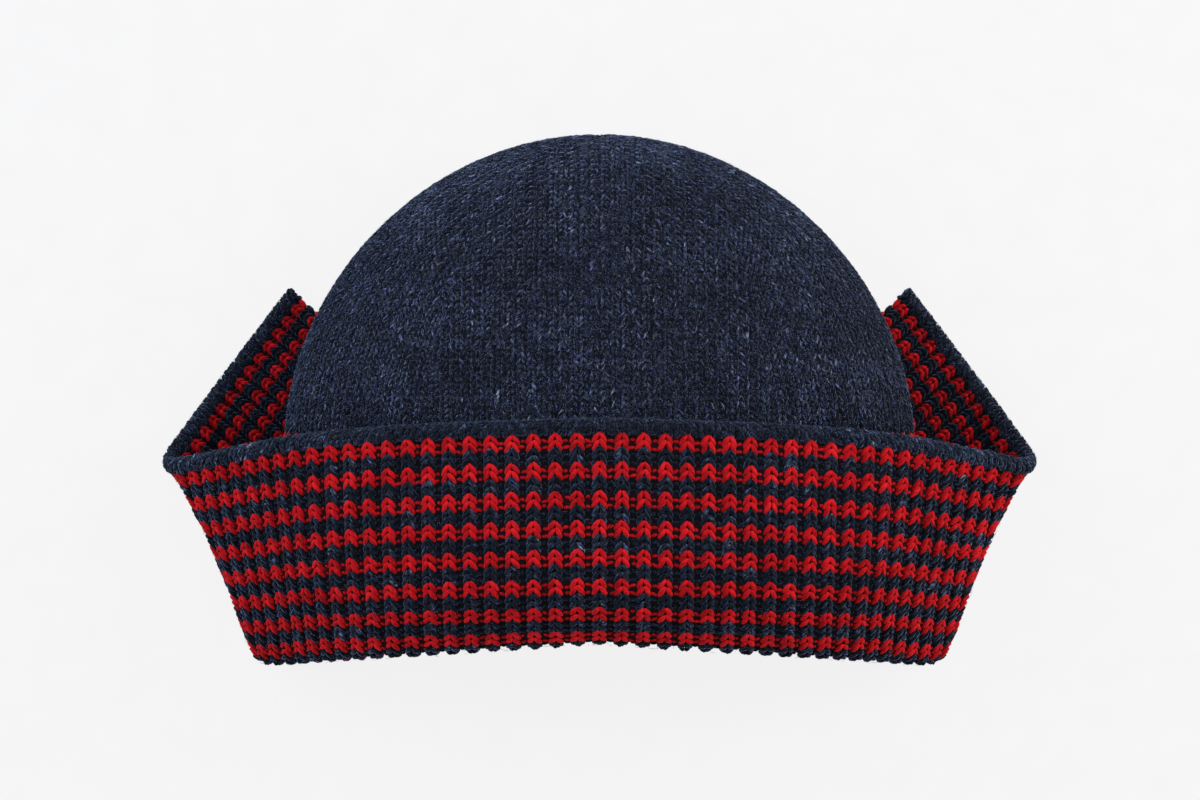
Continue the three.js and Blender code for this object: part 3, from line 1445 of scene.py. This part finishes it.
@dataclass
class Flap:
    """The striped rib strip, with its stitches on both faces, its wall and its selvedges.

    The reverse has no stitches where the strip's two layers lie on each other, out of sight. The
    values that end in uneven are the spread of the stitches about their even places.
    """

    form: FlapForm
    unit_width: float = 5.9
    leg_half: Triple = (2.75, 1.15, 1.1)
    leg_rings: Mapping[Face, int] = field(
        default_factory=lambda: {Face.FRONT: YARN_RINGS + 1, Face.REVERSE: YARN_RINGS}
    )
    leg_offset: float = 0.23
    leg_sink: float = 0.92
    leg_drop: float = 0.12
    lean: float = math.radians(32.0)
    lean_uneven: float = 0.07
    place_uneven: float = 0.14
    height_uneven: float = 0.08
    swell: Pair = (0.94, 1.06)
    apex_lift: float = 0.3
    round_off: float = 0.45
    bar_half: Pair = (0.7, 0.55)
    bar_course: float = 0.3
    bar_course_uneven: float = 0.1
    bar_place_uneven: float = 0.3
    bar_slant_uneven: float = 0.28
    bar_reach: Pair = (-0.3, 0.5)
    bar_rise: Mapping[Face, float] = field(
        default_factory=lambda: {Face.FRONT: 0.42, Face.REVERSE: -0.05}
    )
    # Painted shade: the bars, which lie deep in the gaps between columns, are coloured darker than
    # the legs.
    bar_painted_shade: float = 0.2
    wing_from: float = 0.55
    shut_in: float = 0.38
    shut_from: float = 8.0
    least_gap: float = 0.8
    filled: Mapping[Face, float] = field(
        default_factory=lambda: {Face.FRONT: 0.86, Face.REVERSE: 0.84}
    )
    darker: Mapping[Stripe, float] = field(
        default_factory=lambda: {Stripe.RED: -0.1, Stripe.NAVY: 0.1}
    )
    # Painted shade: the reverse face, which shows low on the wings under the crown, is coloured
    # darker.
    reverse_painted_shade: float = 0.3
    scallop_half: Triple = (2.5, 1.3, 1.75)
    scallop_reach: float = 0.3
    scallop_slant: float = 0.25
    wall_half: float = 0.6
    wall_wave: float = 0.6
    wall_steps: int = 2
    fuzz_count: int = 2600
    seed: int = 23
    bar_seed: int = 30
    scallop_seed: int = 32
    fuzz_seed: int = 63

    def _stripe_courses(self, stripe: Stripe) -> Array:
        """Lists the courses that are knitted in one yarn.

        Args:
            stripe: The yarn.

        Returns:
            The middles of the courses.
        """
        courses = np.arange(self.form.courses)
        return courses[(courses // 2) % 2 == stripe.value] + 0.5

    def _columns(self, face: Face) -> Array:
        """Lists the columns that stand out on one face.

        Args:
            face: The face.

        Returns:
            Places along the strip, from -1 at its left end to 1 at its right end.
        """
        half = self.form.columns_per_half
        if face is Face.FRONT:
            return np.arange(-half + 1, half) / half
        return (np.arange(-half, half) + 0.5) / half

    def _unit_width(self, spots: RibSpots, face: Face) -> Array:
        """Gives the width of the stitches at each place on one face."""
        return np.minimum(self.unit_width, self.filled[face] * spots.pitch)

    def _lay_legs(self, yarn: YarnPiece, face: Face, stripe: Stripe, seed: int) -> None:
        """Lays the two legs of every stitch of one yarn on one face.

        Args:
            yarn: The piece that takes them.
            face: The face.
            stripe: The yarn.
            seed: Seed of the unevenness.
        """
        rng = np.random.default_rng(seed)
        ribs, courses = crossed(self._columns(face), self._stripe_courses(stripe))
        if face is Face.REVERSE:
            shown = (np.abs(ribs) > self.shut_in) | (courses < self.shut_from)
            ribs, courses = ribs[shown], courses[shown]
        spots = self.form.spots(ribs, courses)
        count = len(ribs)
        outward = spots.normal * face.value
        width = self._unit_width(spots, face)[:, None]
        length, half_width, depth = self.leg_half
        ridge = self.form.half_wall + self.form.rib_depth - self.leg_sink * depth - self.leg_drop
        scale = width[:, 0] / self.unit_width
        length = length * np.minimum(spots.rise / self.form.course_height, 1.0)
        # The reverse face's stitches are darkened by the painted shade on top of their yarn's tone.
        darker = self.darker[stripe] + (self.reverse_painted_shade if face is Face.REVERSE else 0.0)
        for side in SIDES:
            lean = (self.lean + rng.normal(0.0, self.lean_uneven, count)) * np.sqrt(scale)
            place = (
                spots.place
                + spots.across * (side * self.leg_offset * width)
                + spots.run * rng.normal(0.0, self.place_uneven, (count, 1))
                + outward * (ridge + rng.normal(0.0, self.height_uneven, (count, 1)))
            )
            along = (
                spots.run * np.cos(lean)[:, None]
                - side * spots.across * np.sin(lean)[:, None]
                + self.apex_lift * outward
            )
            facing = outward + self.round_off * side * spots.across
            swell = rng.uniform(*self.swell, count)
            half = (length * swell, half_width * np.sqrt(scale) * swell, depth)
            yarn.lay(place, along, facing, half, Marl().shades(rng, count) - darker)

    def _lay_bars(self, yarn: YarnPiece, face: Face, stripe: Stripe, seed: int) -> None:
        """Lays the small bars that cross the gaps between one face's columns.

        Args:
            yarn: The piece that takes them.
            face: The face.
            stripe: The yarn.
            seed: Seed of the unevenness.
        """
        rng = np.random.default_rng(seed)
        between = Face.REVERSE if face is Face.FRONT else Face.FRONT
        middles = self._stripe_courses(stripe) + self.bar_course
        ribs, courses = crossed(self._columns(between), middles)
        wander = rng.normal(0.0, self.bar_course_uneven, len(ribs))
        spots = self.form.spots(ribs, courses + wander)
        gap = spots.pitch - self._unit_width(spots, face)
        kept = gap > self.least_gap
        if face is Face.REVERSE:
            kept &= (np.abs(ribs) > self.wing_from) & (courses < self.form.front_courses)
        spots = spots.where(kept)
        count = int(kept.sum())
        shift = rng.normal(0.0, self.bar_place_uneven, (count, 1))
        place = spots.place + spots.normal * (self.bar_rise[face] * face.value) + spots.across * shift
        zigzag = rng.normal(0.0, self.bar_slant_uneven, (count, 1))
        half_length = gap[kept] / 2 + rng.uniform(*self.bar_reach, count)
        # The bars' shades are lowered as painted shade in the gaps.
        yarn.lay(
            place,
            spots.across + zigzag * spots.run,
            spots.normal,
            (half_length, *self.bar_half),
            Marl().shades(rng, count) - self.darker[stripe] - self.bar_painted_shade,
        )

    def _lay_selvedges(self, yarn: YarnPiece, stripe: Stripe, seed: int) -> None:
        """Lays the scallops along the two ends of the strip.

        Args:
            yarn: The piece that takes them.
            stripe: The yarn.
            seed: Seed of the unevenness.
        """
        rng = np.random.default_rng(seed)
        pairs = self._stripe_courses(stripe)[::2] + 0.5
        for end in SIDES:
            spots = self.form.spots(np.full(len(pairs), end), pairs)
            yarn.lay(
                spots.place + spots.across * (self.scallop_reach * end),
                spots.run + self.scallop_slant * end * spots.across,
                spots.normal,
                self.scallop_half,
                Marl().shades(rng, len(pairs)) - self.darker[stripe],
            )

    def _fuzz(self, stripe: Stripe) -> YarnPiece:
        """Scatters loose fibres over the front of one yarn's stripes.

        Args:
            stripe: The yarn.

        Returns:
            The fibres.
        """
        rng = np.random.default_rng(self.fuzz_seed + stripe.value)
        ribs = rng.uniform(-1.0, 1.0, self.fuzz_count)
        courses = rng.choice(self._stripe_courses(stripe), self.fuzz_count)
        spots = self.form.spots(ribs, courses + rng.uniform(-0.5, 0.5, self.fuzz_count))
        height = self.form.half_wall + self.form.rib_depth
        name = f"flap_{stripe.name.lower()}_fuzz"
        return LooseFibres().scatter(name, spots, height, self.seed)

    def _wall(self, ground: bpy.types.Material) -> bpy.types.Object:
        """Builds the thin wall that the stitches lie on.

        Args:
            ground: Its finish, dark with painted shade.

        Returns:
            The wall.
        """
        steps = 2 * self.form.columns_per_half * self.wall_steps + 1
        columns = np.linspace(-1.0, 1.0, steps)
        courses = np.linspace(0.0, self.form.courses, self.form.courses + 1)
        every_column, every_course = crossed(columns, courses)
        spots = self.form.spots(every_column, every_course)
        ridges = np.where(np.arange(steps) % 2 == 0, 1.0, -1.0)
        wave = np.repeat(ridges, len(courses))[:, None] * self.form.rib_depth * self.wall_wave
        sheets = []
        for offset in (self.wall_half, -self.wall_half):
            sheet = off_table(spots.place + spots.normal * (wave + offset))
            sheets.append(sheet.reshape(steps, len(courses), 3))
        mesh = closed_wall("flap_wall", *sheets)
        mark(mesh, "course", np.tile(every_course, 2))
        return dress(mesh, ground)

    def build(
        self, yarns: Mapping[Stripe, bpy.types.Material], ground: bpy.types.Material
    ) -> list[bpy.types.Object]:
        """Builds the strip.

        Args:
            yarns: Finishes of the two yarns.
            ground: Finish of the wall, dark with painted shade.

        Returns:
            The wall, then the pieces on it.
        """
        pieces = []
        for stripe in Stripe:
            tint = stripe.name.lower()
            for face in Face:
                name = f"flap_{tint}_{face.name.lower()}"
                yarn = YarnPiece(name, YARN_SIDES, self.leg_rings[face])
                self._lay_legs(yarn, face, stripe, self.seed + stripe.value)
                self._lay_bars(yarn, face, stripe, self.bar_seed + stripe.value)
                if face is Face.FRONT:
                    self._lay_selvedges(yarn, stripe, self.scallop_seed + stripe.value)
                pieces.append(yarn.finish(yarns[stripe]))
            pieces.append(self._fuzz(stripe).finish(yarns[stripe]))
        wall = self._wall(ground)
        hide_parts("flap")
        return [wall, *pieces]


@dataclass
class EdgeWelt:
    """The rolled welt along the strip's free edge, with its slanted stitches.

    The values that end in uneven are the spread of the stitches about their even places.
    """

    form: FlapForm
    edge_steps: int = 2001
    half_reach: float = 3.3
    half_thickness: float = 2.75
    outer_reach: float = 8.1
    darker: float = 0.15
    # Painted highlight: the welt's stitches are lighter towards both ends of the front, where the
    # roll turns towards the light.
    end_painted_highlight: float = 0.35
    highlight_rise: Pair = (0.15, 0.5)
    highlight_fall: Pair = (0.62, 0.72)
    wale: float = 4.6
    courses: int = 7
    course_uneven: float = 0.06
    leg_half: Triple = (2.1, 1.1, 0.75)
    leg_offset: float = 0.25
    leg_sink: float = 0.62
    lean: float = math.radians(28.0)
    lean_uneven: float = 0.3
    place_uneven: float = 0.25
    round_off: float = 0.2
    swell: Pair = (0.86, 1.14)
    core_inset: float = 0.5
    core_sides: int = 12
    core_steps: int = 241
    cap_reach: float = 1.6
    cap_share: float = 0.6
    fuzz_count: int = 7000
    fuzz_round: float = 2.6
    fuzz_height: float = 0.1
    seed: int = 41

    def _edge(self) -> tuple[Array, Array]:
        """Measures the strip's free edge.

        Returns:
            Close places along the strip, and the length along the edge of each.
        """
        fine = np.linspace(-1.0, 1.0, self.edge_steps)
        return fine, path_lengths(self.form.place(fine, np.zeros_like(fine)))

    def _middles(self, count: int) -> Spots:
        """Gives the middle of the roll at even steps along the free edge.

        Args:
            count: How many steps there are.

        Returns:
            The places.
        """
        fine, lengths = self._edge()
        wanted = np.linspace(0.0, lengths[-1], count)
        spots = self.form.spots(np.interp(wanted, lengths, fine), np.zeros(count))
        reach = self.outer_reach - self.half_reach - self.form.edge_tuck
        return replace(spots, place=spots.place + spots.run * reach)

    def _round(self, spots: Spots, angle: Array, grow: Array) -> Array:
        """Gives points round the roll.

        Args:
            spots: Middles of the roll.
            angle: Angles round it, 0 at the free edge.
            grow: How far the points lie outside its face.

        Returns:
            The points.
        """
        reach = (self.half_reach + grow) * np.cos(angle)
        rise = (self.half_thickness + grow) * np.sin(angle)
        return spots.run[:, None, :] * reach[..., None] + spots.normal[:, None, :] * rise[..., None]

    def _round_spots(self, spots: Spots, angle: Array, grow: float) -> Spots:
        """Gives places on the roll's face, with run pointing round the roll.

        Args:
            spots: Middles of the roll.
            angle: One angle round the roll for each.
            grow: How far the places lie outside its face.

        Returns:
            The places.
        """
        nudge = 0.02
        at = [
            spots.place + self._round(spots, (angle + turn)[:, None], np.array([[grow]]))[:, 0]
            for turn in (-nudge, 0.0, nudge)
        ]
        run = unit(at[2] - at[0])
        return replace(spots, place=at[1], run=run, normal=unit(np.cross(run, spots.across)))

    def _knit(self) -> YarnPiece:
        """Knits the roll.

        Returns:
            The yarn.
        """
        rng = np.random.default_rng(self.seed)
        count = int(self._edge()[1][-1] / self.wale)
        middles = self._middles(count)
        share = np.abs(np.linspace(-1.0, 1.0, count))
        # Painted highlight on the front's two ends, fading out before the wings.
        end_highlight = ease(share, *self.highlight_rise) * (1 - ease(share, *self.highlight_fall))
        yarn = YarnPiece("welt_knit", YARN_SIDES, YARN_RINGS)
        length, width, depth = self.leg_half
        for course in range(self.courses):
            wander = rng.normal(0.0, self.course_uneven, count)
            angle = (course + 0.5) / self.courses * 2 * math.pi + wander
            spots = self._round_spots(middles, angle, -self.leg_sink * depth)
            for side in SIDES:
                lean = self.lean + rng.normal(0.0, self.lean_uneven, count)
                drift = rng.normal(0.0, self.place_uneven, (count, 1))
                place = spots.place + spots.across * (side * self.leg_offset * self.wale + drift)
                slant = (np.sign(spots.place[:, 0]) * np.sin(lean))[:, None]
                along = spots.run * np.cos(lean)[:, None] + spots.across * slant
                facing = spots.normal + self.round_off * side * spots.across
                swell = rng.uniform(*self.swell, count)
                half = (length * swell, width * swell, depth)
                shade = Marl().shades(rng, count) - self.darker + self.end_painted_highlight * end_highlight
                yarn.lay(place, along, facing, half, shade)
        return yarn

    def _fuzz(self) -> YarnPiece:
        """Scatters loose fibres over the roll.

        Returns:
            The fibres.
        """
        rng = np.random.default_rng(self.seed + 1)
        angle = rng.uniform(-self.fuzz_round, self.fuzz_round, self.fuzz_count)
        spots = self._round_spots(self._middles(self.fuzz_count), angle, 0.0)
        return LooseFibres().scatter("welt_fuzz", spots, self.fuzz_height, self.seed)

    def build(self, yarn: bpy.types.Material, ground: bpy.types.Material) -> list[bpy.types.Object]:
        """Builds the welt.

        Args:
            yarn: Finish of the stitches.
            ground: Finish of the core, dark with painted shade.

        Returns:
            The core, then the pieces on it.
        """
        stitches = self._knit().finish(yarn)
        fuzz = self._fuzz().finish(yarn)
        core_spots = self._middles(self.core_steps)
        ring = np.linspace(0.0, 2 * math.pi, self.core_sides, endpoint=False)
        size = (self.core_steps, self.core_sides)
        rings = core_spots.place[:, None, :] + self._round(
            core_spots, np.broadcast_to(ring, size), np.full(size, -self.core_inset)
        )
        middles = rings.mean(axis=1, keepdims=True)
        caps = [
            middles[end]
            + self.cap_share * (rings[end] - middles[end])
            + reach * core_spots.across[end]
            for end, reach in ((0, -self.cap_reach), (-1, self.cap_reach))
        ]
        rings = off_table(np.concatenate([caps[:1], rings, caps[1:]]))
        core = dress(closed_tube("welt_core", rings), ground)
        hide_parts("edge_welt")
        return [core, stitches, fuzz]


@dataclass(frozen=True)
class SoftLight:
    """A soft light that looks at the hat.

    Attributes:
        name: Name of the light.
        place: Where it is, in metres.
        size: Width of its face, in metres.
        power: Its power in watts.
        tint: Its colour.
    """

    name: str
    place: Triple
    size: float
    power: float
    tint: Colour

    def build(self) -> None:
        """Adds the light."""
        data = bpy.data.lights.new(self.name, "AREA")
        data.size = self.size
        data.energy = self.power
        data.color = self.tint
        light = add_object(self.name, data)
        light.location = self.place
        light.rotation_euler = (-light.location).to_track_quat("-Z", "Y").to_euler()


@dataclass
class Studio:
    """The pale table, the soft lights and the camera above. Lengths here are in metres.

    Attributes:
        camera_at: Where the camera is, across the table and along it.
        camera_height: How high it is.
        camera_reach: How far it sees.
        lens: Focal length in millimetres.
        sensor: Width of its sensor in millimetres.
        table_half: Half the width of the table.
        table_grain: Darkest and lightest grey of the table, and where its noise has them.
        grain_scale: How many grains there are to a metre.
        table_roughness: Roughness of the table.
        glow: How strongly the table glows.
        glow_tint: Colour of the glow.
        ambient: Strength of the light from all round.
        ambient_tint: Colour of that light.
        lights: The soft lights.
    """

    camera_at: Pair = (0.0002, 0.0007)
    camera_height: float = 1.05
    camera_reach: float = 20.0
    lens: float = 76.3
    sensor: float = 36.0
    table_half: float = 3.0
    table_grain: tuple[tuple[float, Colour], ...] = (
        (0.3, (0.06, 0.06, 0.06)),
        (0.7, (0.07, 0.07, 0.07)),
    )
    grain_scale: float = 60.0
    table_roughness: float = 0.9
    glow: float = 0.85
    glow_tint: Colour = (1.0, 0.995, 1.0)
    ambient: float = 0.62
    ambient_tint: Colour = (0.96, 0.98, 1.0)
    lights: tuple[SoftLight, ...] = (
        SoftLight("key_light", (0.95, 0.5, 0.6), 1.0, 14.5, (1.0, 0.97, 0.95)),
        SoftLight("fill_light", (-1.0, 0.6, 0.5), 1.2, 18.0, (0.7, 0.83, 1.0)),
    )

    def build(self) -> None:
        """Builds the table, the lights and the camera."""
        self._table()
        for light in self.lights:
            light.build()
        self._surroundings()
        self._camera()

    def _table(self) -> None:
        """Builds the table top."""
        shape = bmesh.new()
        bmesh.ops.create_grid(shape, x_segments=1, y_segments=1, size=self.table_half)
        mesh = bpy.data.meshes.new("table")
        shape.to_mesh(mesh)
        shape.free()
        graph = Graph("table_white")
        graph.surface(
            Base_Color=graph.ramp(self.table_grain, graph.noise(graph.places(), self.grain_scale)),
            Roughness=self.table_roughness,
            Specular_IOR_Level=0.0,
            Emission_Color=(*self.glow_tint, 1.0),
            Emission_Strength=self.glow,
        )
        mesh.materials.append(graph.material)
        table = add_object("table", mesh)

    def _surroundings(self) -> None:
        """Sets the light from all round and the plain view of its colours."""
        world = bpy.data.worlds.new("studio")
        world.use_nodes = True
        background = world.node_tree.nodes["Background"]
        background.inputs["Color"].default_value = (*self.ambient_tint, 1.0)
        background.inputs["Strength"].default_value = self.ambient
        bpy.context.scene.world = world
        bpy.context.scene.view_settings.view_transform = "Standard"

    def _camera(self) -> None:
        """Adds the camera, which looks straight down."""
        data = bpy.data.cameras.new("camera")
        data.lens = self.lens
        data.sensor_width = self.sensor
        data.clip_end = self.camera_reach
        camera = add_object("camera", data)
        camera.location = (*self.camera_at, self.camera_height)
        bpy.context.scene.camera = camera


def main() -> None:
    """Builds the hat on its table."""
    logging.basicConfig(level=logging.INFO, format="%(message)s")
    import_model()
    Studio().build()
    navy = YarnFinish(
        "navy_marl",
        NAVY_STOPS,
        length_share=0.34,
        fibre_share=0.95,
        sheen=1.0,
        sheen_tint=(0.48, 0.6, 1.0),
        sheen_roughness=0.13,
        depth=-0.02,
    ).make()
    rib_navy = YarnFinish(
        "navy_rib", NAVY_STOPS, fibre_share=1.0, streaks=(2.0, 2.0, 0.9), sheen=0.3
    ).make()
    red = YarnFinish(
        "red_wool",
        RED_STOPS,
        length_share=0.4,
        fibre_share=0.55,
        streaks=(2.0, 2.0, 0.9),
        sheen=0.12,
        sheen_tint=(0.9, 0.35, 0.35),
        hue_share=0.3,
    ).make()
    # Painted shade: the grounds are the yarns' colours darkened to stand for the shade deep between
    # the stitches.
    dark = ShadedGroundFinish("navy_ground_painted_shade", from_srgb(19, 21, 31)).make()
    striped = ShadedGroundFinish("striped_ground_painted_shade", from_srgb(13, 14, 21), from_srgb(32, 9, 13)).make()
    crown_form = CrownForm()
    flap_form = FlapForm(crown_form)
    pieces = [
        *Crown(crown_form).build(navy, dark),
        *Flap(flap_form).build({Stripe.RED: red, Stripe.NAVY: rib_navy}, striped),
        *EdgeWelt(flap_form).build(rib_navy, dark),
    ]
    for piece in pieces:
        LOG.info("%s: %d faces", piece.name, len(piece.data.polygons))


if __name__ == "__main__":
    main()
